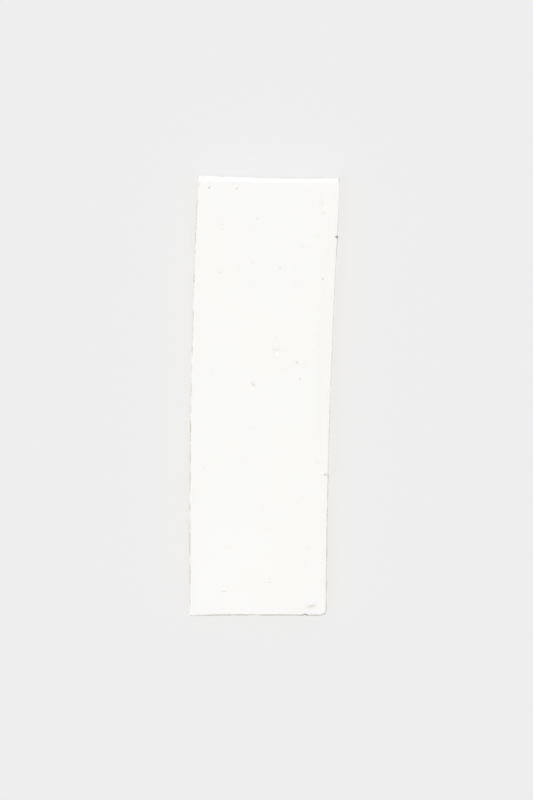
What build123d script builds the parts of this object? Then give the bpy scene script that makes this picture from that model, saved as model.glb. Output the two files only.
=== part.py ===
from build123d import *

import math
import os

# Thin brick tile: one piece of fired clay, lying on its keyed back with the glazed face up.
# Millimetres. +Z points out of the face and +Y runs along the length.
# The origin is at the middle of the bounding box, on the bedding plane.
#
# The clay is extruded as a flat bar, so its section is the same all along. The bar bows a
# little in plan as it dries, and two parallel wires cut it to length slightly out of square.

# Driving dimensions
LENGTH = 203.2  # between the two wire cuts
WIDTH = 63.5  # across the extruded bar
THICKNESS = 12.7  # from the bedding plane to the glazed face
CAMBER = 1.4  # bow of the long sides in plan, at mid-length
END_SKEW = 1.4  # degrees by which both wire cuts are out of square
ARRIS_RADIUS = 0.9  # softened edge round the face and down the four corners

# Keying grooves along the back, evenly spaced between two edge lands
GROOVE_COUNT = 4
GROOVE_WIDTH = 6.0  # at the bedding plane
GROOVE_DEPTH = 0.6
GROOVE_FLANK = 65.0  # degrees between a flank and the bedding plane
EDGE_LAND = 8.0  # flat strip outside the outermost groove


def camber_radius():
    """Radius of the bowed centre line, whose chord is the length and whose rise is the camber."""
    half_chord = LENGTH / 2
    return (half_chord**2 + CAMBER**2) / (2 * CAMBER)


def groove_pitch():
    """Spacing that spreads the grooves evenly between the two edge lands."""
    return (WIDTH - 2 * EDGE_LAND - GROOVE_WIDTH) / (GROOVE_COUNT - 1)


def die_section():
    """Section of the extruded bar: a flat slab with tapered keying grooves in its back."""
    slab = Pos(0, THICKNESS / 2) * Rectangle(WIDTH, THICKNESS)
    groove = Pos(0, GROOVE_DEPTH / 2) * Trapezoid(GROOVE_WIDTH, GROOVE_DEPTH, GROOVE_FLANK)
    grooves = [place * groove for place in GridLocations(groove_pitch(), 0, GROOVE_COUNT, 1)]
    return Plane.XZ * (slab - grooves)


def bowed_bar():
    """The extruded bar, bowed in plan about a point far out on its +X side.

    It is longer than the tile by its own width, so that both skewed cuts go right through.
    """
    radius = camber_radius()
    bow_axis = Axis((radius, 0, 0), (0, 0, 1))
    bow_angle = math.degrees((LENGTH + WIDTH) / radius)
    upper_end = die_section().rotate(bow_axis, -bow_angle / 2)
    return revolve(upper_end, bow_axis, bow_angle)


def wire_cut(bar):
    """The bar, turned by the skew and cut to length between two parallel wires."""
    between_wires = Box(2 * WIDTH, LENGTH, 2 * THICKNESS)
    return bar.rotate(Axis.Z, -END_SKEW) & between_wires


def soften_arrises(blank):
    """Rounds the edge of the face and the four upright corners, as fired glaze does."""
    face_edges = blank.faces().sort_by(Axis.Z)[-1].edges()
    corner_edges = blank.edges().filter_by(Axis.Z).group_by(SortBy.LENGTH)[-1]
    return fillet(face_edges + corner_edges, ARRIS_RADIUS)


def set_on_origin(tile):
    """Puts the middle of the tile's underside at the origin."""
    box = tile.bounding_box()
    return Pos(-box.center().X, -box.center().Y, -box.min.Z) * tile


brick_tile = set_on_origin(soften_arrises(wire_cut(bowed_bar())))

os.makedirs("parts", exist_ok=True)
export_step(brick_tile, "parts/brick_tile.step")
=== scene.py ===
import math
from collections import namedtuple

import bpy
import numpy as np
from mathutils import Matrix, Vector, geometry, noise


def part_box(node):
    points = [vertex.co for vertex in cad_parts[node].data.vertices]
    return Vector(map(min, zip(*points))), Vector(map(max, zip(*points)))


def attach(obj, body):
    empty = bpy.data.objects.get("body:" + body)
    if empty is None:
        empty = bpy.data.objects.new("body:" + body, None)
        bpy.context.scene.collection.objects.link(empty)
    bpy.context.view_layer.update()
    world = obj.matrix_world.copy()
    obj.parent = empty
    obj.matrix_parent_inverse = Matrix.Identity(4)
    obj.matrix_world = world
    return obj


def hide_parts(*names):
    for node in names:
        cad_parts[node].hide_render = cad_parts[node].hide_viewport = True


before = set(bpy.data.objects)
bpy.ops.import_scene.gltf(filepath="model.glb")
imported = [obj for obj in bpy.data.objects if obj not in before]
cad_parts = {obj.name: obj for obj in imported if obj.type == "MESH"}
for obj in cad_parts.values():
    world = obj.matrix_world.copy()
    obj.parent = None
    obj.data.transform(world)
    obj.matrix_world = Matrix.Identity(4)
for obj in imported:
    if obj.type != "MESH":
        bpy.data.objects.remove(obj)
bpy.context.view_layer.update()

# Sizes are in millimetres, and become metres when a mesh, light or camera is made.
MM = 0.001
NODE = "brick_tile"
low_corner, high_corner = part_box(NODE)

# The tile, as in the part's source
LENGTH = (high_corner.y - low_corner.y) / MM
THICKNESS = (high_corner.z - low_corner.z) / MM
WIDTH = 63.5
CAMBER = 1.4
END_SKEW = math.radians(1.4)
CORNER_RADIUS = 0.9
GROOVE_COUNT = 4
GROOVE_WIDTH = 6.0
GROOVE_DEPTH = 0.6
GROOVE_FLANK = math.radians(65)
EDGE_LAND = 8.0

HALF_LENGTH = LENGTH / 2
HALF_WIDTH = WIDTH / 2
BOW_RADIUS = (HALF_LENGTH**2 + CAMBER**2) / (2 * CAMBER)
BOW_CENTRE = np.array([
    low_corner.x / MM + BOW_RADIUS + HALF_WIDTH,
    -BOW_RADIUS * math.sin(END_SKEW),
])

# The photograph's camera, fitted to the tile's outline. A pixel's coordinates are its middle.
PHOTO_WIDTH = 533
PHOTO_HEIGHT = 800
SENSOR = 36.0
LENS = 98.97
VIEW_DISTANCE = 1000.0
VIEW_TILT = math.radians(13.1)  # from straight above, towards +Y
VIEW_YAW = math.radians(1.01)  # towards +X
AXIS_PIXEL = (260.37, 399.89)  # where the view axis meets the photograph

# Mesh steps
OUTLINE_STEP = 0.4
FACE_STEP = 0.8
BACK_STEP = 1.2
CLAY_RINGS = 8
GLAZE_RINGS = 5
ARRIS_RINGS = 7
CORNER_STEPS = 6
CORNER_REACH = 7.0  # how far from a corner the mesh makes room for it

# Relief of the glaze and the clay
WELL_CLEAR = 5.0  # stands for a height far above the glaze line, or far below it
FACE_SETBACK = 0.12  # mean level of the glaze below the highest point of the face
FOOT_ROUND = 0.3
GLAZE_STEP = 0.16  # glaze standing proud of the bare clay on the walls
GLAZE_LIP = 0.35  # height over which the glaze rounds off to the clay
CLAY_RELIEF = 0.10
WALL_DRAW = np.array([1, 0.12, 1])  # how the die draws the clay's grain out along the walls
BACK_DRAW = np.array([1, 0.06])
DRAG_DEPTH = 0.07  # drag marks along the back
TEAR_DEPTH = 0.5  # torn pits in the back, wherever its noise is over the start
TEAR_START = 0.35

# Shapes of relief: a wave repeats, a ramp rises between two places and a ridge rises round one.
Wave = namedtuple("Wave", "height size")
Ramp = namedtuple("Ramp", "amount start stop")
Ridge = namedtuple("Ridge", "amount middle reach")


def side_point(across, y):
    """Points at a distance across the bowed bar, positive towards +X, and at a given y."""
    reach = np.sqrt((BOW_RADIUS - across) ** 2 - (y - BOW_CENTRE[1]) ** 2)
    return np.column_stack([BOW_CENTRE[0] - reach, y + 0 * reach])


def across_at(points):
    """How far across the bowed bar points lie, from its centre line."""
    return BOW_RADIUS - np.hypot(points[:, 0] - BOW_CENTRE[0], points[:, 1] - BOW_CENTRE[1])


def ripple(points, size, seed=0):
    """Smooth noise between about -1 and 1, with lumps of about the given size."""
    padded = np.zeros((len(points), 3))
    padded[:, :points.shape[1]] = points
    shifted = padded / size + np.array([17.3, 5.1, 9.7]) * (seed + 1)
    return np.array([noise.noise(Vector(place)) for place in shifted])


def smooth_step(values, start, stop):
    """0 before start, 1 after stop, and an even rise between."""
    share = np.clip((values - start) / (stop - start), 0, 1)
    return share * share * (3 - 2 * share)


def hump(values, middle, reach):
    """A smooth rise to 1 at the middle, falling away over the reach."""
    return np.exp(-(((values - middle) / reach) ** 2))


def waves(points, wave, seed):
    """Heights of a wave at points."""
    return wave.height * ripple(points, wave.size, seed)


def ramp_at(values, ramp):
    """Heights of a ramp at values."""
    return ramp.amount * smooth_step(values, ramp.start, ramp.stop)


def ridge_at(values, ridge):
    """Heights of a ridge at values."""
    return ridge.amount * hump(values, ridge.middle, ridge.reach)


def spaced(start, stop, step):
    """Evenly spaced values from start to stop, about a step apart."""
    return np.linspace(start, stop, round(abs(stop - start) / step) + 1)


# Camera

def view_axes():
    """The camera's right, up and backward directions."""
    tilt_sin, tilt_cos = math.sin(VIEW_TILT), math.cos(VIEW_TILT)
    yaw_sin, yaw_cos = math.sin(VIEW_YAW), math.cos(VIEW_YAW)
    right = Vector((yaw_cos, 0, -yaw_sin))
    up = Vector((-tilt_sin * yaw_sin, tilt_cos, -tilt_sin * yaw_cos))
    back = Vector((tilt_cos * yaw_sin, tilt_sin, tilt_cos * yaw_cos))
    return right, up, back


def view_point():
    """The camera's place. It looks at the middle of the tile's bowed centre line."""
    middle = Vector((BOW_CENTRE[0] - BOW_RADIUS * math.cos(END_SKEW), 0, THICKNESS / 2))
    return middle + view_axes()[2] * VIEW_DISTANCE


def on_face(pixel):
    """The point of the glazed face that lies at a pixel of the photograph."""
    focal_pixels = LENS / SENSOR * PHOTO_HEIGHT
    right, up, back = view_axes()
    ray = right * (pixel[0] - AXIS_PIXEL[0]) - up * (pixel[1] - AXIS_PIXEL[1]) - back * focal_pixels
    start = view_point()
    hit = start + ray * ((THICKNESS - start.z) / ray.z)
    return np.array([hit.x, hit.y])


def make_camera():
    """Sets the camera at the photograph's place."""
    data = bpy.data.cameras.new("camera")
    data.sensor_width = SENSOR
    data.lens = LENS
    data.shift_x = (PHOTO_WIDTH / 2 - AXIS_PIXEL[0] - 0.5) / PHOTO_HEIGHT
    data.shift_y = (AXIS_PIXEL[1] + 0.5 - PHOTO_HEIGHT / 2) / PHOTO_HEIGHT
    camera = bpy.data.objects.new("camera", data)
    turn = Matrix(view_axes()).transposed().to_4x4()
    camera.matrix_world = Matrix.Translation(view_point() * MM) @ turn
    bpy.context.scene.collection.objects.link(camera)
    bpy.context.scene.camera = camera


# Marks on the face

# Colours are linear red, green and blue.
TINTS = {
    # soot_and_painted_shade darkens real specks. It also paints shade on the shaded sides of some pits,
    # below a pimple and in nicks.
    "soot_and_painted_shade": (0.05, 0.05, 0.04),
    "olive": (0.18, 0.21, 0.05),
    "umber": (0.24, 0.17, 0.06),
    "iron": (0.34, 0.15, 0.05),
    "ochre": (0.62, 0.46, 0.16),
    "straw": (0.60, 0.58, 0.36),
    "tan": (0.42, 0.33, 0.20),
    "rose": (0.80, 0.66, 0.62),
    "primrose": (0.80, 0.77, 0.48),
    # white_and_painted_light paints highlights on the lit walls of pits and on a pimple, and a lighter
    # lower face. It also whitens the halo round one speck.
    "white_and_painted_light": (0.90, 0.90, 0.88),
}

# A mark lies at a pixel of the photograph. It is as wide as its size, times its stretch along
# the direction that it is turned to, in degrees from +X. A depth below zero is a pimple.
Mark = namedtuple("Mark", "pixel size depth tint strength stretch turn", defaults=("tan", 0.015, 1.0, 0.0))

PINHOLE = [
    # Painted highlight on the pit's lit wall. The dark hole beside it is partly its own dark colour and
    # partly painted shade.
    Mark((211.1, 188.1), 1.9, 0.05, "white_and_painted_light", 0.55, 1.2, -20),
    Mark((208.8, 187.3), 1.2, 0.20, "soot_and_painted_shade", 0.24),
]
UPPER_CRATERS = [
    Mark((257.6, 219.8), 2.4, 0.07),
    # Painted shade on the crater's upper-left wall and a painted highlight on its lower-right wall.
    Mark((256.5, 218.7), 1.1, 0.08, "soot_and_painted_shade", 0.06),
    Mark((258.7, 220.5), 1.5, 0.02, "white_and_painted_light", 0.45),
    Mark((304.2, 248.0), 3.6, 0.13, "straw", 0.06, 1.2, 40),
    Mark((304.5, 247.4), 1.4, 0.02, "white_and_painted_light", 0.35),
    Mark((301.3, 246.0), 1.0, 0.06, "soot_and_painted_shade", 0.05, 2.6, 35),
    Mark((280.0, 267.5), 2.0, 0.11, "soot_and_painted_shade", 0.055),
]
LARGEST_CRATER = [
    Mark((276.5, 350.8), 3.4, 0.12, "straw", 0.05, 1.2, -10),
    Mark((283.5, 350.5), 3.2, 0.01, "straw", 0.05, 1.3, 20),
    Mark((275.5, 349.5), 1.3, 0.02, "iron", 0.09, 3.8, 0),
    # Painted highlight on the crater's lit lower wall.
    Mark((276.9, 353.2), 2.1, 0.02, "white_and_painted_light", 0.55),
]
BURNT_CRATER = [
    Mark((251.8, 382.2), 2.2, 0.14, "soot_and_painted_shade", 0.09, 1.2, 45),
    Mark((251.5, 388.2), 1.9, 0.02, "white_and_painted_light", 0.35, 1.6, 0),
    Mark((253.6, 384.7), 1.9, 0.05, "ochre", 0.13, 1.5, -30),
    Mark((252.8, 384.6), 1.4, 0.03, "umber", 0.13, 1.6, -20),
]
EDGE_SLIT = [
    Mark((325.3, 474.4), 1.1, 0.20, "soot_and_painted_shade", 0.40, 2.2, 0),
]
PIMPLE = [
    # A painted highlight over the pimple and a painted shadow just below it.
    Mark((224.0, 589.8), 2.4, -0.20, "white_and_painted_light", 0.20),
    Mark((224.0, 590.9), 1.3, 0.02, "soot_and_painted_shade", 0.115, 1.7, 0),
]
GOUGE = [
    Mark((306.0, 605.2), 2.6, 0.04, "rose", 0.24, 1.4, 0),
    Mark((310.0, 608.0), 1.7, 0.03, "primrose", 0.26, 2.6, 10),
    Mark((311.2, 606.0), 1.7, 0.12, "umber", 0.20, 3.2, 22),
    Mark((312.0, 605.7), 1.1, 0.04, "umber", 0.08, 2.4, 20),
]
TWIN_SCRATCHES = [
    Mark((268.7, 578.6), 1.0, 0.08, "umber", 0.08, 2.8, 0),
    Mark((268.9, 582.0), 1.0, 0.08, "umber", 0.08, 2.6, 0),
]
SPECKS = [
    Mark((236.2, 188.0), 3.6, -0.02, "white_and_painted_light", 0.32),
    Mark((236.2, 188.0), 2.3, 0.03, "olive", 0.19),
    Mark((322.4, 278.4), 1.4, 0.05, "soot_and_painted_shade", 0.22),
    Mark((296.3, 362.0), 1.6, 0.06, "umber", 0.18, 1.5, 0),
    Mark((299.5, 379.0), 1.6, 0.05, "soot_and_painted_shade", 0.12),
    Mark((203.3, 468.3), 1.9, 0.05, "umber", 0.07),
    Mark((220.0, 270.8), 1.3, 0.02, "rose", 0.12, 2.2, 0),
    Mark((220.0, 272.2), 1.2, 0.10, "soot_and_painted_shade", 0.08, 2.0, 0),
    Mark((252.0, 262.5), 2.0, 0.05, "iron", 0.04, 1.3, 0),
    Mark((336.9, 236.6), 1.6, 0.10, "soot_and_painted_shade", 0.90),
]
MOTTLES = [
    Mark((320.5, 203.5), 3.0, 0.06, "straw", 0.10, 1.6, 80),
    Mark((322.5, 213.0), 2.4, 0.08, "straw", 0.13, 1.3, 20),
    Mark((317.0, 235.5), 3.6, 0.04, "straw", 0.09, 1.2, 0),
    Mark((304.0, 365.0), 3.0, 0.04, "straw", 0.06, 1.4, 30),
    Mark((212.0, 372.0), 2.4, 0.02, "straw", 0.08),
    Mark((316.0, 333.0), 3.0, 0.04, "straw", 0.08, 1.3, 90),
    Mark((252.0, 427.5), 2.6, 0.02, "straw", 0.08, 1.4, 90),
    Mark((317.0, 462.0), 2.4, 0.06, "straw", 0.09),
    Mark((227.5, 547.5), 3.4, 0.03, "ochre", 0.05),
    Mark((307.5, 547.0), 2.8, 0.02, "straw", 0.10),
    Mark((252.0, 288.0), 2.4, 0.04, "straw", 0.05),
    Mark((244.0, 458.0), 2.6, 0.03, "rose", 0.07),
    Mark((252.0, 484.0), 2.8, 0.03, "rose", 0.08),
    Mark((292.0, 484.0), 2.8, 0.08, "rose", 0.06),
    Mark((261.0, 507.5), 2.8, 0.03, "rose", 0.07),
    Mark((322.5, 597.0), 3.0, 0.03, "rose", 0.05),
    Mark((249.5, 225.5), 3.0, 0.05, "rose", 0.06, 1.4, 20),
    Mark((283.0, 370.0), 2.6, 0.02, "straw", 0.05),
]
DIMPLES = [
    Mark((221.6, 224.0), 0.9, 0.03, "soot_and_painted_shade", 0.05, 2.2, 0),
    Mark((221.9, 228.7), 1.1, 0.04, "soot_and_painted_shade", 0.05, 1.8, 0),
    Mark((293.0, 227.0), 1.8, 0.05, stretch=2.2, turn=-40),
    Mark((240.0, 266.0), 1.6, 0.15),
    Mark((293.0, 265.0), 2.2, 0.07, stretch=1.4, turn=90),
    Mark((297.0, 284.0), 1.8, 0.045, stretch=2.2, turn=-15),
    Mark((237.5, 300.0), 2.2, 0.07),
    Mark((220.0, 309.0), 1.8, 0.05),
    Mark((252.5, 312.0), 1.8, 0.035, stretch=2.2, turn=80),
    Mark((274.5, 338.5), 1.9, 0.06),
    Mark((317.0, 346.0), 2.2, 0.08),
    Mark((316.0, 434.0), 1.8, 0.07),
    Mark((262.5, 482.0), 2.0, 0.07),
    Mark((269.0, 482.0), 1.8, 0.05),
    Mark((300.0, 498.0), 1.9, 0.07, stretch=1.4),
    Mark((217.0, 516.0), 2.2, 0.05),
    Mark((212.0, 524.0), 2.2, 0.05),
    Mark((305.5, 566.5), 2.6, 0.05),
]
# Broad clouds of colour, too shallow to feel. The broad white one is painted light that makes the lower
# face brighter.
CLOUDS = [
    Mark((322.0, 360.0), 9.0, 0.0, "straw", 0.05, 11.0, 88),
    Mark((326.0, 262.0), 7.0, 0.0, "ochre", 0.02, 4.0, 88),
    # Painted light: the lower face made brighter.
    Mark((238.0, 575.0), 60.0, 0.0, "white_and_painted_light", 0.10, 1.2, 90),
]
MARKS = (
    PINHOLE + UPPER_CRATERS + LARGEST_CRATER + BURNT_CRATER + EDGE_SLIT + PIMPLE + GOUGE + TWIN_SCRATCHES
    + SPECKS + MOTTLES + DIMPLES
)

# A nick is a bite out of the arris, and its hollow is tinted dark: partly the clay's colour, partly
# painted shade.
Nick = namedtuple("Nick", "pixel radius depth tint strength")

SIDE_NICKS = [
    Nick((335.6, 242.0), 1.0, 0.20, "iron", 0.25),
    Nick((335.5, 248.0), 1.0, 0.20, "iron", 0.25),
    Nick((334.4, 284.0), 0.8, 0.26, "umber", 0.30),
    Nick((334.0, 295.0), 0.8, 0.24, "umber", 0.22),
    Nick((333.6, 303.0), 0.7, 0.22, "umber", 0.22),
    Nick((333.0, 313.0), 0.7, 0.20, "iron", 0.20),
    Nick((332.4, 324.0), 0.8, 0.24, "umber", 0.25),
    Nick((331.4, 349.5), 0.9, 0.20, "iron", 0.18),
    Nick((330.6, 377.5), 0.8, 0.20, "soot_and_painted_shade", 0.16),
]
END_NICKS = [
    Nick((228.0, 615.5), 1.6, 0.65, "umber", 0.50),
    Nick((244.0, 615.5), 1.2, 0.45, "umber", 0.35),
    Nick((267.0, 615.5), 1.3, 0.55, "umber", 0.45),
    Nick((299.0, 615.2), 1.0, 0.40, "umber", 0.35),
    Nick((304.3, 615.2), 1.7, 1.00, "soot_and_painted_shade", 0.62),
]
CORNER_CHIP = [
    Nick((325.0, 617.0), 1.1, 0.55, "olive", 0.36),
]
NICKS = SIDE_NICKS + END_NICKS + CORNER_CHIP

# Faint dimples all over the face, beside those that the photograph shows
DIMPLE_COUNT = 150
DIMPLE_SEED = 7
DIMPLE_MARGIN = 4  # clear of the edges of the face
DIMPLE_SIZES = (0.8, 2.6)
DIMPLE_DEPTHS = (0.004, 0.022)
MARK_RINGS = (0.12, 0.3, 0.5, 0.7, 0.9, 1.1, 1.35)  # rings of mesh points, as shares of the half size
RING_POINTS = 18
MARK_UNEVEN = 0.22  # how uneven a mark's edge is, in lumps of a share of its half size
MARK_LUMPS = 1.3
MARK_RIM = Ridge(0.12, 1.08, 0.22)  # as shares of the mark's depth and half size
MARK_TINT_CORE = 0.35  # a mark's tint, stain or painted light, is full up to here and gone at its edge, as shares of the half size
MARK_TINT_EDGE = 1.05
MARK_TINT_DEPTH = 1.2  # how far below the face the marks' tints reach


class Dent:
    """A mark set on the face: its middle, its half sizes and its direction."""

    def __init__(self, middle, size, depth, tint="tan", strength=0.0, stretch=1.0, turn=0.0):
        self.middle = np.asarray(middle, float)
        self.half = size / 2
        self.depth = depth
        self.tint = TINTS[tint]
        self.strength = strength
        self.stretch = stretch
        angle = math.radians(turn)
        self.along = np.array([math.cos(angle), math.sin(angle)])
        self.beside = np.array([-math.sin(angle), math.cos(angle)])

    def share(self, points):
        """Distance of points from the middle, 1 being the mark's uneven edge."""
        offset = points[:, :2] - self.middle
        plain = np.hypot(offset @ self.along / self.stretch, offset @ self.beside) / self.half
        return plain * (1 + MARK_UNEVEN * ripple(points[:, :2], self.half * MARK_LUMPS))

    def ring_points(self):
        """Mesh points on rings round the middle, so that the mark keeps its shape."""
        turns = np.linspace(0, 2 * math.pi, RING_POINTS, endpoint=False)
        rings = [self.middle]
        for share in MARK_RINGS:
            reach = self.half * share
            forward = np.outer(np.cos(turns) * reach * self.stretch, self.along)
            sideways = np.outer(np.sin(turns) * reach, self.beside)
            rings.extend(self.middle + forward + sideways)
        return np.array(rings)

    def near(self, points, margin=1.6):
        """Which points the mark may reach."""
        reach = self.half * self.stretch * margin
        return np.abs(points[:, :2] - self.middle).max(axis=1) < reach


def all_dents():
    """The marks that the photograph shows, then faint dimples all over."""
    dents = []
    for mark in MARKS:
        dents.append(Dent(on_face(mark.pixel), *mark[1:]))
    draw = np.random.default_rng(DIMPLE_SEED)
    for _ in range(DIMPLE_COUNT):
        y = draw.uniform(DIMPLE_MARGIN - HALF_LENGTH, HALF_LENGTH - DIMPLE_MARGIN)
        across = draw.uniform(DIMPLE_MARGIN - HALF_WIDTH, HALF_WIDTH - DIMPLE_MARGIN)
        middle = side_point(np.array([across]), np.array([y]))[0]
        size = draw.uniform(*DIMPLE_SIZES)
        dents.append(Dent(middle, size, draw.uniform(*DIMPLE_DEPTHS)))
    return dents


DENTS = all_dents()
# Marks that tint the face: stains, painted highlights and painted shade.
STAINS_AND_PAINTED_LIGHT = [Dent(on_face(mark.pixel), *mark[1:]) for mark in CLOUDS] + DENTS


# Lips of glaze, by their distance from the arris
LEFT_LIP = Ridge(0.018, 2.3, 0.9)
RIGHT_LIP = Ridge(0.022, 1.9, 0.7)
RIGHT_LIP_FULLER = Ramp(0.6, 30, 60)  # share of the right lip that only its lower part has
BOTTOM_LIP = Ridge(0.020, 3.0, 0.45)
BOTTOM_OUTER_LIP = Ridge(0.015, 1.6, 0.35)
LIP_WAVE = Wave(0.6, 5.0)

FACE_SWELL = Wave(0.020, 13.0)
FACE_RIPPLE = Wave(0.008, 3.6)


def edge_lips(points):
    """Low ridges of glaze that drew back from the arris along the sides and the -Y end."""
    across = across_at(points)
    from_bottom = points[:, 1] + HALF_LENGTH
    fuller = 1 - RIGHT_LIP_FULLER.amount + ramp_at(-points[:, 1], RIGHT_LIP_FULLER)
    left = ridge_at(across + HALF_WIDTH, LEFT_LIP)
    right = ridge_at(HALF_WIDTH - across, RIGHT_LIP) * fuller
    bottom = ridge_at(from_bottom, BOTTOM_LIP) + ridge_at(from_bottom, BOTTOM_OUTER_LIP)
    return (1 + waves(points, LIP_WAVE, seed=14)) * (left + right + bottom)


def face_height(points):
    """Height of the glazed face: gentle waves and lips, with a bowl and a low rim for each mark."""
    height = np.full(len(points), THICKNESS - FACE_SETBACK)
    height += waves(points, FACE_SWELL, seed=1)
    height += waves(points, FACE_RIPPLE, seed=2)
    height += edge_lips(points)
    for dent in DENTS:
        near = dent.near(points)
        share = dent.share(points[near])
        bowl = np.clip(1 - share**2, 0, 1) ** 1.5
        height[near] -= dent.depth * (bowl - ridge_at(share, MARK_RIM))
    return np.minimum(height, THICKNESS)


def add_stain_and_painted_light(colours, where, amount, tint):
    """Lays a tint, for stains or painted light, over the tints that are there already."""
    old = colours[where, 3] * (1 - amount)
    total = np.maximum(old + amount, 1e-6)
    mixed = (colours[where, :3] * old[:, None] + np.outer(amount, tint)) / total[:, None]
    colours[where] = np.column_stack([mixed, old + amount])


def stain_and_painted_light_colours(points):
    """Colour of the marks at points of the mesh, with their strength as the fourth value: stains, painted
    highlights and painted shade.
    """
    colours = np.zeros((len(points), 4))
    on_top = points[:, 2] > THICKNESS - MARK_TINT_DEPTH
    for dent in STAINS_AND_PAINTED_LIGHT:
        near = dent.near(points) & on_top
        fading = smooth_step(dent.share(points[near]), MARK_TINT_CORE, MARK_TINT_EDGE)
        amount = dent.strength * (1 - fading)
        add_stain_and_painted_light(colours, near, amount, dent.tint)
    return colours


# Outline of the tile in plan

def groove_middles():
    """Places of the grooves across the bar."""
    outermost = HALF_WIDTH - EDGE_LAND - GROOVE_WIDTH / 2
    return np.linspace(-outermost, outermost, GROOVE_COUNT)


def groove_corners():
    """Places across the bar where a groove's section turns."""
    half_floor = GROOVE_WIDTH / 2 - GROOVE_DEPTH / math.tan(GROOVE_FLANK)
    offsets = np.array([-GROOVE_WIDTH / 2, -half_floor, half_floor, GROOVE_WIDTH / 2])
    return (groove_middles()[:, None] + offsets).ravel()


def groove_height(across):
    """Height of the back above the bedding plane."""
    distance = np.abs(across[:, None] - groove_middles()).min(axis=1)
    return np.clip((GROOVE_WIDTH / 2 - distance) * math.tan(GROOVE_FLANK), 0, GROOVE_DEPTH)


def with_groove_corners(places, step):
    """Places across the bar, with the corners of the grooves among them."""
    corners = groove_corners()
    clear = np.abs(places[:, None] - corners).min(axis=1) > step / 3
    return np.sort(np.concatenate([places[clear], corners]))


def end_run(y_sign):
    """Stations along one end, anticlockwise round the tile, with their outward normals."""
    straight = HALF_WIDTH - CORNER_RADIUS
    across = with_groove_corners(spaced(-straight, straight, OUTLINE_STEP), OUTLINE_STEP)[::-y_sign]
    points = side_point(across, y_sign * HALF_LENGTH)
    return points, np.tile([0.0, y_sign], (len(points), 1))


def side_run(x_sign):
    """Stations along one long side, anticlockwise round the tile, with their outward normals."""
    straight = HALF_LENGTH - CORNER_RADIUS
    y = spaced(-straight, straight, OUTLINE_STEP)[::x_sign]
    points = side_point(x_sign * HALF_WIDTH, y)
    inward = BOW_CENTRE - points
    return points, x_sign * inward / np.linalg.norm(inward, axis=1, keepdims=True)


def corner_run(before, after, x_sign, y_sign):
    """Stations round one corner, between the normals of the runs before and after it."""
    across = np.array([x_sign * (HALF_WIDTH - CORNER_RADIUS)])
    middle = side_point(across, y_sign * (HALF_LENGTH - CORNER_RADIUS))
    start = math.atan2(before[1], before[0])
    sweep = (math.atan2(after[1], after[0]) - start) % (2 * math.pi)
    angles = start + sweep * np.arange(1, CORNER_STEPS) / CORNER_STEPS
    normals = np.column_stack([np.cos(angles), np.sin(angles)])
    return middle + CORNER_RADIUS * normals, normals


def outline():
    """Stations all round the tile, anticlockwise from its -X, -Y corner, with their normals."""
    runs = [end_run(-1), side_run(1), end_run(1), side_run(-1)]
    corners = [(1, -1), (1, 1), (-1, 1), (-1, -1)]
    pieces = []
    for index, run in enumerate(runs):
        following = runs[(index + 1) % len(runs)]
        pieces.append(run)
        pieces.append(corner_run(run[1][-1], following[1][0], *corners[index]))
    points = np.vstack([piece[0] for piece in pieces])
    normals = np.vstack([piece[1] for piece in pieces])
    return points, normals


# A worn corner has lost a depth along its diagonal, and the loss dies out over a reach.
Wear = namedtuple("Wear", "x_sign y_sign depth reach")
WORN_CORNERS = [
    Wear(1, -1, 0.70, 1.8),
]


def from_corner(points, wear):
    """Offsets of points from a worn corner's sharp tip, and the direction inwards from it."""
    tip = side_point(np.array([wear.x_sign * HALF_WIDTH]), wear.y_sign * HALF_LENGTH)
    inward = np.array([-wear.x_sign, -wear.y_sign]) / math.sqrt(2)
    return points - tip, inward


def worn(points):
    """Points of the outline, drawn in at the worn corners."""
    moved = points.copy()
    for wear in WORN_CORNERS:
        offset, inward = from_corner(points, wear)
        lost = wear.depth * hump(np.linalg.norm(offset, axis=1), 0, wear.reach)
        moved += np.outer(lost, inward)
    return moved


TRUE_STATIONS, NORMALS = outline()
STATIONS = worn(TRUE_STATIONS)
STATION_ACROSS = across_at(TRUE_STATIONS)


def inward_directions():
    """Which way each station moves inwards, along X and along Y.

    A station within a corner reach of an end of its run moves along the run too, so that the
    corners keep their round when all the stations move in.
    """
    places = np.column_stack([STATION_ACROSS, TRUE_STATIONS[:, 1]])
    distances = np.array([HALF_WIDTH, HALF_LENGTH]) - np.abs(places)
    reach = 1 - smooth_step(distances, CORNER_RADIUS, CORNER_REACH)
    return -np.sign(places) * reach


INWARD = inward_directions()


def by_wall(right, left, top, bottom):
    """Two values for each station, from one for each wall: its side's and its end's."""
    sideways = np.where(STATION_ACROSS > 0, right, left)
    endways = np.where(STATIONS[:, 1] > 0, top, bottom)
    return np.column_stack([sideways, endways])


def blended(pairs):
    """One value for each station from its side's and its end's, by the way the wall faces."""
    return (pairs * NORMALS**2).sum(axis=1)


# Walls

# Values for the four walls: the +X side, the -X side, the +Y end and the -Y end
Walls = namedtuple("Walls", "right left top bottom")
EDGE_WOBBLE = Walls(0.08, 0.06, 0.08, 0.12)
GLAZE_LAP = Walls(4.2, 4.6, 20.0, 4.0)  # how far down the glaze comes: past the foot at the +Y end
ARRIS_RADII = Walls(0.70, 0.75, 0.45, 1.15)
THINNESS = Walls(0.45, 0.90, 0.02, 1.10)  # how much the clay shows through along the arris
LOWER_EDGE_PAINTED_SHADE = Walls(0.25, 0.15, 0.0, 0.0)  # painted shade: more of the thinning tint on the lower half of the tile, darkening its edge lines
THIN_STOP = Walls(0.0, 0.13, 0.0, 0.12)  # how upright the arris still is where the thin glaze ends

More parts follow.
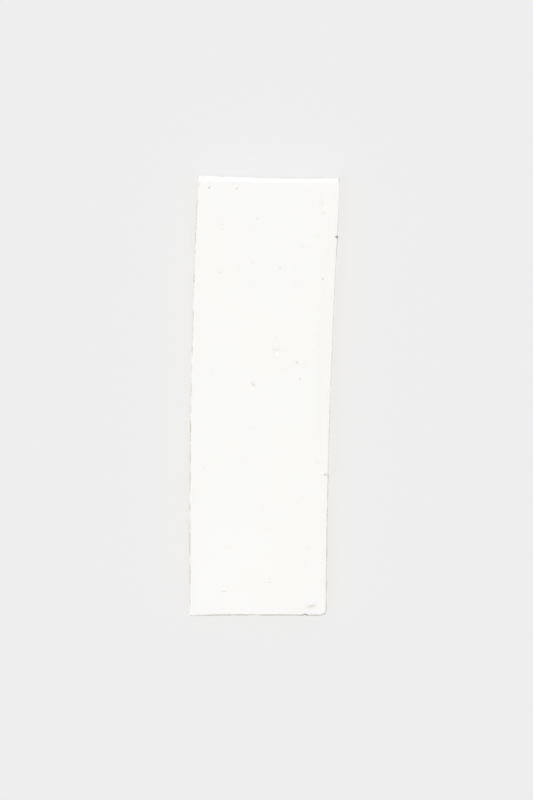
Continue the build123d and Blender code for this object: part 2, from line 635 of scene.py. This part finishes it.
# Insets of the +Y end at its foot and at its top, and of the -Y end, across the bar
FOOT_LEAN = Ramp(1.20, -37, 12)
FOOT_RETURN = Ramp(-0.22, 16, 32)
TOP_INSET = 0.56
TOP_LEAN = Ramp(0.28, -30, -14)
TOP_HOLLOW = Ridge(0.26, 8, 8)
BOTTOM_LEAN = Ramp(0.42, -33, -18)
BOTTOM_HOLLOW = Ramp(0.18, -20, -5)
# Insets of the sides, along them
RIGHT_DRAW_IN = Ramp(0.30, 92, 101)
LEFT_DRAW_IN = Ramp(0.42, 92, 101)

LAP_SWELL = Wave(1.3, 13.0)
LAP_RIPPLE = Wave(0.7, 4.0)
RUN_LENGTH = 14.0  # runs of glaze come down wherever the noise is over the start
RUN_SPACING = 7.5
RUN_START = 0.25
ARRIS_WAVE = Wave(0.15, 6.0)
THIN_WAVE = Wave(0.6, 5.0)


def end_inset(height):
    """How far the walls lie inside the true outline.

    The ends are a little twisted and hollow, and the sides draw in towards the +Y end.
    """
    share = np.asarray(height) / THICKNESS
    foot = ramp_at(STATION_ACROSS, FOOT_LEAN) + ramp_at(STATION_ACROSS, FOOT_RETURN)
    head = TOP_INSET + ramp_at(STATION_ACROSS, TOP_LEAN) + ridge_at(STATION_ACROSS, TOP_HOLLOW)
    bottom = ramp_at(STATION_ACROSS, BOTTOM_LEAN) + ramp_at(STATION_ACROSS, BOTTOM_HOLLOW)
    right = ramp_at(STATIONS[:, 1], RIGHT_DRAW_IN)
    left = ramp_at(STATIONS[:, 1], LEFT_DRAW_IN) * share
    return by_wall(right, left, foot + (head - foot) * share, bottom)


def edge_wobble():
    """Small unevenness of the arris, always inwards."""
    fine = 0.5 + 0.5 * ripple(STATIONS, 2.4, seed=4)
    return by_wall(*EDGE_WOBBLE) * fine[:, None]


def glaze_line():
    """Height at which the glaze ends on the walls, in tongues and runs."""
    lap = blended(by_wall(*GLAZE_LAP))
    lap = lap + waves(STATIONS, LAP_SWELL, seed=5) + waves(STATIONS, LAP_RIPPLE, seed=6)
    lap += RUN_LENGTH * np.maximum(ripple(STATIONS, RUN_SPACING, seed=7) - RUN_START, 0) ** 2
    return THICKNESS - lap


def arris_radius():
    """Radius of the arris at each station, for its side and for its end."""
    uneven = 1 + waves(STATIONS, ARRIS_WAVE, seed=3)
    return by_wall(*ARRIS_RADII) * uneven[:, None]


# Round a corner the glaze is thin, or stays thick, by an amount that dies out over a reach.
Patch = namedtuple("Patch", "x_sign y_sign amount reach")
THIN_CORNERS = [
    Patch(-1, 1, 0.20, 2.2),
    Patch(1, 1, 0.30, 1.3),
]
THICK_CORNERS = [
    Patch(-1, -1, 0.75, 5.0),
    Patch(1, -1, 0.55, 3.0),
]


def round_corners(patches):
    """The amount that patches round the corners have at each station."""
    most = np.zeros(len(STATIONS))
    for patch in patches:
        tip = side_point(np.array([patch.x_sign * HALF_WIDTH]), patch.y_sign * HALF_LENGTH)
        distance = np.linalg.norm(STATIONS - tip, axis=1)
        most = np.maximum(most, patch.amount * hump(distance, 0, patch.reach))
    return most


def ring_plan(line):
    """Insets and heights of the rings of mesh points, from the foot of the walls to the face.

    Three of them follow the glaze line. The last value says how upright the wall is there.
    """
    foot = groove_height(STATION_ACROSS) * np.abs(NORMALS[:, 1])
    arris = arris_radius()
    rise = blended(arris)
    top = face_height(STATIONS + INWARD * (arris + end_inset(THICKNESS) + edge_wobble()))
    start, stop = foot + FOOT_ROUND, top - rise
    line = np.clip(line, start + 1.0, stop - 1.0)
    plan = [(FOOT_ROUND, foot, 0.0), (FOOT_ROUND * 0.3, foot + FOOT_ROUND * 0.3, 1.0)]
    for share in np.linspace(0, 1, CLAY_RINGS):
        plan.append((0.0, start + (line - GLAZE_LIP - start) * share, 1.0))
    plan.append((0.0, line, 1.0))
    for share in np.linspace(1, 0, GLAZE_RINGS):
        plan.append((0.0, stop - (stop - line - GLAZE_LIP) * share, 1.0))
    for angle in np.linspace(0, math.pi / 2, ARRIS_RINGS + 1)[1:]:
        inset = arris * (1 - math.cos(angle))
        plan.append((inset, top - rise * (1 - math.sin(angle)), math.cos(angle)))
    return plan


def wall_relief(points, above):
    """How far the wall lies behind its true plane: rough clay, with a rounded step up to the glaze."""
    clay = 0.5 + 0.5 * ripple(points * WALL_DRAW, 0.9, seed=8)
    clay = 0.6 * clay + 0.4 * (0.5 + 0.5 * ripple(points, 2.2, seed=9))
    bare = GLAZE_STEP + CLAY_RELIEF * clay
    glazed = 0.4 * GLAZE_STEP * smooth_step(above, 0.6, 1.6) * (1 - smooth_step(above, 2.0, 4.0))
    return bare + (glazed - bare) * smooth_step(above, -GLAZE_LIP, GLAZE_LIP)


def wall_rings():
    """Rings of mesh points for the walls and the arris.

    With them come their heights above the glaze line and how much tan the thinning glaze gives, partly
    painted shade along the lower half's edges.
    """
    line = glaze_line()
    wobble = edge_wobble()
    # Painted shade: the lower half's sides get more of the thinning tint, which darkens their edge lines.
    lower = smooth_step(-STATIONS[:, 1], 0, 45)
    thinness_and_painted_shade = blended(by_wall(*THINNESS) + by_wall(*LOWER_EDGE_PAINTED_SHADE) * lower[:, None])
    thinness_and_painted_shade *= np.clip(0.8 + waves(STATIONS, THIN_WAVE, seed=11), 0, 1.2)
    thinness_and_painted_shade *= 1 - round_corners(THICK_CORNERS)
    bare = round_corners(THIN_CORNERS)
    stop = blended(by_wall(*THIN_STOP))
    rings, heights, thins_and_painted_shade = [], [], []
    for inset, height, upright in ring_plan(line):
        inward = inset + end_inset(height) + wobble
        place = np.column_stack([STATIONS + INWARD * inward, height])
        relief = wall_relief(place, height - line) * upright
        place[:, :2] += INWARD * relief[:, None]
        rings.append(place)
        heights.append(height - line)
        near_edge = smooth_step(height, THICKNESS - 1.8, THICKNESS - 0.8)
        thins_and_painted_shade.append(np.maximum(thinness_and_painted_shade * near_edge, bare) * smooth_step(upright, stop, stop + 0.5))
    return np.array(rings), np.array(heights), np.array(thins_and_painted_shade)


# Nicks in the arris

NICK_LIFT = 0.5  # how much a nick's ball lies upwards, for each 1 that it lies outwards
NICK_DROP = 0.35  # how far below the face a nick bites
NICK_REACH = 1.3  # as a share of the ball's radius
LEAST_RATIO = 0.05  # keeps a point at the ball's very middle from being flung out


def nick_middle(nick):
    """Middle of the ball that a nick is the print of, just outside the arris."""
    place = on_face(nick.pixel)
    station = np.argmin(np.hypot(*(STATIONS - place).T))
    outward = np.array([*NORMALS[station], NICK_LIFT]) / math.hypot(1, NICK_LIFT)
    edge = STATIONS[station] + INWARD[station] * end_inset(THICKNESS)[station]
    return np.array([*edge, THICKNESS - NICK_DROP]) + outward * (nick.radius - nick.depth)


def bite_nicks(points, colours):
    """Presses each nick into the mesh points and darkens it, partly with painted shade of its hollow."""
    for nick in NICKS:
        middle = nick_middle(nick)
        offset = points - middle
        distance = np.linalg.norm(offset, axis=1)
        near = distance < nick.radius * NICK_REACH
        ratio = distance[near] / nick.radius
        push = np.maximum(1 / np.maximum(ratio, LEAST_RATIO), 1)
        amount = nick.strength * (1 - smooth_step(ratio, 0.9, 1.25))
        add_stain_and_painted_light(colours, near, amount, TINTS[nick.tint])
        points[near] = middle + offset[near] * push[:, None]


# Face, back and the whole mesh

# Room left between the outline and the mesh points inside it, at the sides and at the ends
FIELD_MARGINS = (2.0, 2.6)
RING_MARGINS = (1.8, 2.4)
BACK_MARGINS = (FOOT_ROUND + 1.2, FOOT_ROUND + 1.8)
WORN_MARGIN = 0.6  # more room at a worn corner
RING_MARGIN = 0.12  # room round a mark's rings, as a share of its half size
SHARP_ANGLE = math.radians(50)


def inside(points, side_margin, end_margin):
    """Which points lie inside the outline by the given margins, and clear of the worn corners."""
    within = np.abs(across_at(points)) < HALF_WIDTH - side_margin
    within &= np.abs(points[:, 1]) < HALF_LENGTH - end_margin
    for wear in WORN_CORNERS:
        offset, inward = from_corner(points, wear)
        within &= offset @ inward > wear.depth + end_margin + WORN_MARGIN
    return within


def face_points():
    """Mesh points on the face: an even field, with rings round each mark."""
    rows = spaced(-HALF_LENGTH, HALF_LENGTH, FACE_STEP * math.sqrt(3) / 2)
    field = []
    for index, y in enumerate(rows):
        x = np.arange(-WIDTH, WIDTH, FACE_STEP) + FACE_STEP / 2 * (index % 2)
        field.append(np.column_stack([x, np.full(len(x), y)]))
    points = np.vstack(field)
    points = points[inside(points, *FIELD_MARGINS)]
    for dent in sorted(DENTS, key=lambda dent: -dent.half):
        offset = points - dent.middle
        reach = np.hypot(offset @ dent.along / dent.stretch, offset @ dent.beside)
        kept = points[reach > dent.half * (MARK_RINGS[-1] + RING_MARGIN)]
        rings = dent.ring_points()
        points = np.vstack([kept, rings[inside(rings, *RING_MARGINS)]])
    return points


def back_points():
    """Mesh points on the back, in rows across it with the grooves' corners among them."""
    across = with_groove_corners(spaced(-HALF_WIDTH, HALF_WIDTH, BACK_STEP), BACK_STEP)
    rows = [side_point(across, y) for y in spaced(-HALF_LENGTH, HALF_LENGTH, BACK_STEP)]
    points = np.vstack(rows)
    return points[inside(points, *BACK_MARGINS)]


def back_height(points):
    """Height of the back: grooves, drag marks along them and a few torn pits."""
    drag = 0.5 + 0.5 * ripple(points * BACK_DRAW, 1.0, seed=12)
    torn = np.maximum(ripple(points, 3.5, seed=13) - TEAR_START, 0)
    return groove_height(across_at(points)) + DRAG_DEPTH * drag + TEAR_DEPTH * torn


def triangulate(boundary, inner):
    """Triangles that fill a boundary loop with inner points. The boundary's points come first."""
    places = [Vector(point) for point in np.vstack([boundary, inner])]
    count = len(boundary)
    loop = [(index, (index + 1) % count) for index in range(count)]
    inside_only = 1
    found = geometry.delaunay_2d_cdt(places, loop, [], inside_only, 1e-6)
    if len(found[0]) != len(places):
        raise ValueError("two mesh points fell together")
    return np.array(found[2])


def wall_quads(ring_count, station_count):
    """Faces between neighbouring rings, turned outwards."""
    here = np.arange(station_count)
    after = (here + 1) % station_count
    quads = []
    for ring in range(ring_count - 1):
        lower, upper = ring * station_count, (ring + 1) * station_count
        quads += np.column_stack([lower + here, lower + after, upper + after, upper + here]).tolist()
    return quads


def add_values(mesh, name, kind, field, values):
    """Stores a value for each point of a mesh, for its material to read."""
    mesh.attributes.new(name, kind, "POINT").data.foreach_set(field, values.astype(np.float32).ravel())


def tile_mesh():
    """The dressed tile as one closed mesh, with its glaze line, glaze thinning and mark tints at each
    point. The tints hold painted highlights and painted shade as well as stains, and the thinning holds
    painted shade along the lower half's edges.
    """
    rings, heights, thins_and_painted_shade = wall_rings()
    ring_count, station_count = rings.shape[:2]
    face = face_points()
    back = back_points()
    wall = rings.reshape(-1, 3)
    points = np.vstack([
        wall,
        np.column_stack([face, face_height(face)]),
        np.column_stack([back, back_height(back)]),
    ])
    top_start = (ring_count - 1) * station_count
    face_index = np.concatenate([top_start + np.arange(station_count), len(wall) + np.arange(len(face))])
    back_index = np.concatenate([np.arange(station_count), len(wall) + len(face) + np.arange(len(back))])
    faces = face_index[triangulate(rings[-1, :, :2], face)].tolist()
    faces += back_index[triangulate(rings[0, :, :2], back)][:, ::-1].tolist()
    faces += wall_quads(ring_count, station_count)
    # Mark tints: stains, with painted highlights and painted shade at some marks and in the nicks.
    stain_and_painted_light = stain_and_painted_light_colours(points)
    bite_nicks(points, stain_and_painted_light)
    mesh = bpy.data.meshes.new("glazed_brick_tile")
    mesh.from_pydata((points * MM).tolist(), [], faces)
    above = [heights.ravel(), np.full(len(face), WELL_CLEAR), np.full(len(back), -WELL_CLEAR)]
    thin_and_painted_shade = [thins_and_painted_shade.ravel(), np.zeros(len(face) + len(back))]
    add_values(mesh, "above_line", "FLOAT", "value", np.concatenate(above))
    add_values(mesh, "thin_and_painted_shade", "FLOAT", "value", np.concatenate(thin_and_painted_shade))
    add_values(mesh, "stain_and_painted_light", "FLOAT_COLOR", "color", stain_and_painted_light)
    mesh.shade_smooth()
    mesh.set_sharp_from_angle(angle=SHARP_ANGLE)
    return mesh


# Materials

def node(tree, kind, inputs=None, **settings):
    """Adds a node, with settings and with values or links for its inputs."""
    made = tree.nodes.new(kind)
    for name, value in settings.items():
        setattr(made, name, value)
    for name, value in (inputs or {}).items():
        if isinstance(value, bpy.types.NodeSocket):
            tree.links.new(value, made.inputs[name])
        else:
            made.inputs[name].default_value = value
    return made


def mix(tree, factor, first, second):
    """A colour between two colours."""
    inputs = {0: factor, 6: first, 7: second}
    return node(tree, "ShaderNodeMix", inputs, data_type="RGBA").outputs[2]


def ranged(tree, value, start, stop, low=0.0, high=1.0):
    """A value taken from one range to another, and held inside it."""
    inputs = {"Value": value, "From Min": start, "From Max": stop, "To Min": low, "To Max": high}
    return node(tree, "ShaderNodeMapRange", inputs).outputs[0]


def calculate(tree, operation, first, second):
    """A sum, product or other result of two values."""
    return node(tree, "ShaderNodeMath", {0: first, 1: second}, operation=operation).outputs[0]


def grain(tree, place, size, detail=3.0):
    """Noise with lumps of about the given size."""
    inputs = {"Vector": place, "Scale": 1 / (size * MM), "Detail": detail}
    return node(tree, "ShaderNodeTexNoise", inputs).outputs["Fac"]


def specks(tree, place, spacing, size):
    """Small round specks, about a spacing apart."""
    inputs = {"Vector": place, "Scale": 1 / (spacing * MM)}
    distance = node(tree, "ShaderNodeTexVoronoi", inputs).outputs["Distance"]
    return ranged(tree, distance, 0.35 * size / spacing, 0.6 * size / spacing, 1.0, 0.0)


def attribute(tree, name):
    """The node that reads a value stored on the mesh."""
    return node(tree, "ShaderNodeAttribute", attribute_name=name)


# Colours are linear red, green and blue, with full cover. Sizes of grain are in millimetres.
GLAZE_WHITE = (0.800, 0.796, 0.783, 1)
GLAZE_CREAM = (0.800, 0.793, 0.774, 1)
# These tints of thinner glaze also paint shade along the lower half's edges.
THIN_GLAZE_AND_SHADE_OLIVE = (0.37, 0.355, 0.265, 1)
THIN_GLAZE_AND_SHADE_ROSE = (0.44, 0.345, 0.260, 1)
CLAY_BUFF = (0.50, 0.385, 0.26, 1)
CLAY_DEEP = (0.36, 0.25, 0.155, 1)
CLAY_PALE = (0.62, 0.52, 0.39, 1)
IRON_SPECK = (0.13, 0.075, 0.045, 1)
GLAZE_ROUGHNESS = (0.29, 0.37)
CLAY_ROUGHNESS = 0.92
BUMP_HEIGHT = 0.07
DRAWN_SCALE = (1.0, 0.06, 1.0)  # stretches the clay's grain along the length


def glaze_colour(tree, place, above):
    """White glaze, a little creamier in broad clouds, and tan where it is thinner or ends. Along the lower
    half's edges the tan is partly painted shade.
    """
    clouds = ranged(tree, grain(tree, place, 24.0, 2.0), 0.42, 0.68)
    white_and_painted_light = mix(tree, clouds, GLAZE_WHITE, GLAZE_CREAM)
    uneven = ranged(tree, grain(tree, place, 1.2, 3.0), 0.3, 0.7, 0.6, 1.2)
    thin_and_painted_shade = calculate(tree, "MULTIPLY", attribute(tree, "thin_and_painted_shade").outputs["Fac"], uneven)
    thin_and_painted_shade = calculate(tree, "MAXIMUM", thin_and_painted_shade, ranged(tree, above, 0.0, 0.6, 0.7, 0.0))
    hue = ranged(tree, grain(tree, place, 4.0, 2.0), 0.40, 0.60)
    return mix(tree, thin_and_painted_shade, white_and_painted_light, mix(tree, hue, THIN_GLAZE_AND_SHADE_OLIVE, THIN_GLAZE_AND_SHADE_ROSE))


def clay_colour(tree, place, drawn):
    """Buff clay with a coarse grain, drawn streaks, pale grog and dark iron specks."""
    body = mix(tree, ranged(tree, grain(tree, place, 1.1, 5.0), 0.35, 0.7), CLAY_DEEP, CLAY_BUFF)
    streaks = ranged(tree, grain(tree, drawn, 1.5), 0.5, 0.75, 0.0, 0.5)
    body = mix(tree, streaks, body, CLAY_PALE)
    grog = calculate(tree, "MULTIPLY", specks(tree, place, 2.6, 0.9), 0.55)
    body = mix(tree, grog, body, CLAY_PALE)
    return mix(tree, specks(tree, place, 5.0, 0.8), body, IRON_SPECK)


def surface_bump(tree, place, drawn, glazed):
    """Faint orange peel on the glaze, and pores, grain and drawn streaks on the clay."""
    peel = calculate(tree, "MULTIPLY", grain(tree, place, 2.0, 2.0), 0.12)
    pores = calculate(tree, "MULTIPLY", specks(tree, place, 1.7, 0.5), -1.0)
    rough = calculate(tree, "ADD", grain(tree, place, 0.5, 5.0), grain(tree, drawn, 0.8))
    rough = calculate(tree, "ADD", rough, pores)
    inputs = {"Factor": glazed, "A": rough, "B": peel}
    height = node(tree, "ShaderNodeMix", inputs).outputs["Result"]
    return node(tree, "ShaderNodeBump", {"Height": height, "Distance": BUMP_HEIGHT * MM}).outputs["Normal"]


def brick_material():
    """White satin glaze that goes tan where it grows thinner along the arrises and ends raggedly on bare
    buff clay, with painted shade and painted highlights among the tan edges and the marks.
    """
    material = bpy.data.materials.new("white_glaze_on_buff_clay")
    material.use_nodes = True
    tree = material.node_tree
    shader = tree.nodes["Principled BSDF"]
    place = node(tree, "ShaderNodeTexCoord").outputs["Object"]
    drawn = node(tree, "ShaderNodeMapping", {"Vector": place, "Scale": DRAWN_SCALE}).outputs["Vector"]
    ragged = ranged(tree, grain(tree, place, 0.9, 4.0), 0.0, 1.0, -0.4, 0.4)
    above = calculate(tree, "ADD", attribute(tree, "above_line").outputs["Fac"], ragged)
    glazed = ranged(tree, above, -0.06, 0.06)
    surface = mix(tree, glazed, clay_colour(tree, place, drawn), glaze_colour(tree, place, above))
    stain_and_painted_light = attribute(tree, "stain_and_painted_light")
    # Mark tints over the surface: stains, with painted highlights and painted shade among them.
    surface = mix(tree, stain_and_painted_light.outputs["Alpha"], surface, stain_and_painted_light.outputs["Color"])
    satin = ranged(tree, grain(tree, place, 6.0, 2.0), 0.3, 0.7, *GLAZE_ROUGHNESS)
    inputs = {"Factor": glazed, "A": CLAY_ROUGHNESS, "B": satin}
    rough = node(tree, "ShaderNodeMix", inputs).outputs["Result"]
    tree.links.new(surface, shader.inputs["Base Color"])
    tree.links.new(rough, shader.inputs["Roughness"])
    tree.links.new(surface_bump(tree, place, drawn, glazed), shader.inputs["Normal"])
    return material


def make_tile():
    """The dressed tile, in the place of the plain solid."""
    tile = bpy.data.objects.new("glazed_brick_tile", tile_mesh())
    tile.data.materials.append(brick_material())
    bpy.context.scene.collection.objects.link(tile)
    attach(tile, "root")
    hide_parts(NODE)
    return tile


# Floor and light

FLOOR_SIDE = 8.0
FLOOR_GAP = 0.02 * MM
FLOOR_COLOUR = (0.16, 0.16, 0.16, 1)
FLOOR_ROUGHNESS = 0.95
FLOOR_GLOW = 0.76
SURROUND_STRENGTH = 0.385
WHITE = (1, 1, 1, 1)

# A lamp is broad and far off. Angles are in degrees: its bearing left of +Y, its height and its spread.
Lamp = namedtuple("Lamp", "name bearing height spread strength")
OVERHEAD = Lamp("overhead_light", 150, 80, 60, 0.232)
KEY = Lamp("key_light", 50, 20, 24, 1.20)
FILL = Lamp("fill_light", -120, 10, 16, 0.90)


def make_floor():
    """A plain pale floor, lit from below like a light table so that shadows on it stay faint."""
    half = FLOOR_SIDE / 2
    square = [(-half, -half), (half, -half), (half, half), (-half, half)]
    corners = [(x, y, -FLOOR_GAP) for x, y in square]
    mesh = bpy.data.meshes.new("floor")
    mesh.from_pydata(corners, [], [(0, 1, 2, 3)])
    material = bpy.data.materials.new("pale_light_table")
    material.use_nodes = True
    shader = material.node_tree.nodes["Principled BSDF"]
    shader.inputs["Base Color"].default_value = FLOOR_COLOUR
    shader.inputs["Roughness"].default_value = FLOOR_ROUGHNESS
    shader.inputs["Specular IOR Level"].default_value = 0.0
    shader.inputs["Emission Color"].default_value = WHITE
    shader.inputs["Emission Strength"].default_value = FLOOR_GLOW
    mesh.materials.append(material)
    floor = bpy.data.objects.new("floor", mesh)
    bpy.context.scene.collection.objects.link(floor)


def make_lamp(lamp):
    """Sets a lamp in the scene."""
    data = bpy.data.lights.new(lamp.name, "SUN")
    data.energy = lamp.strength * math.pi
    data.angle = math.radians(lamp.spread)
    bearing = math.radians(lamp.bearing)
    height = math.radians(lamp.height)
    level = math.cos(height)
    towards = Vector((-math.sin(bearing) * level, math.cos(bearing) * level, math.sin(height)))
    made = bpy.data.objects.new(lamp.name, data)
    made.rotation_mode = "QUATERNION"
    made.rotation_quaternion = (-towards).to_track_quat("-Z", "Y")
    bpy.context.scene.collection.objects.link(made)
    return made


def make_light(tile):
    """Soft studio light: a pale surround, a lamp overhead, and a low key and fill for the tile alone."""
    world = bpy.data.worlds.new("studio")
    world.use_nodes = True
    background = world.node_tree.nodes["Background"]
    background.inputs["Color"].default_value = WHITE
    background.inputs["Strength"].default_value = SURROUND_STRENGTH
    bpy.context.scene.world = world
    make_lamp(OVERHEAD)
    receivers = bpy.data.collections.new("lit_low_down")
    receivers.objects.link(tile)
    for lamp in (KEY, FILL):
        low_lamp = make_lamp(lamp)
        low_lamp.light_linking.receiver_collection = receivers
        low_lamp.visible_glossy = False
    bpy.context.scene.view_settings.view_transform = "Standard"


make_camera()
make_floor()
make_light(make_tile())
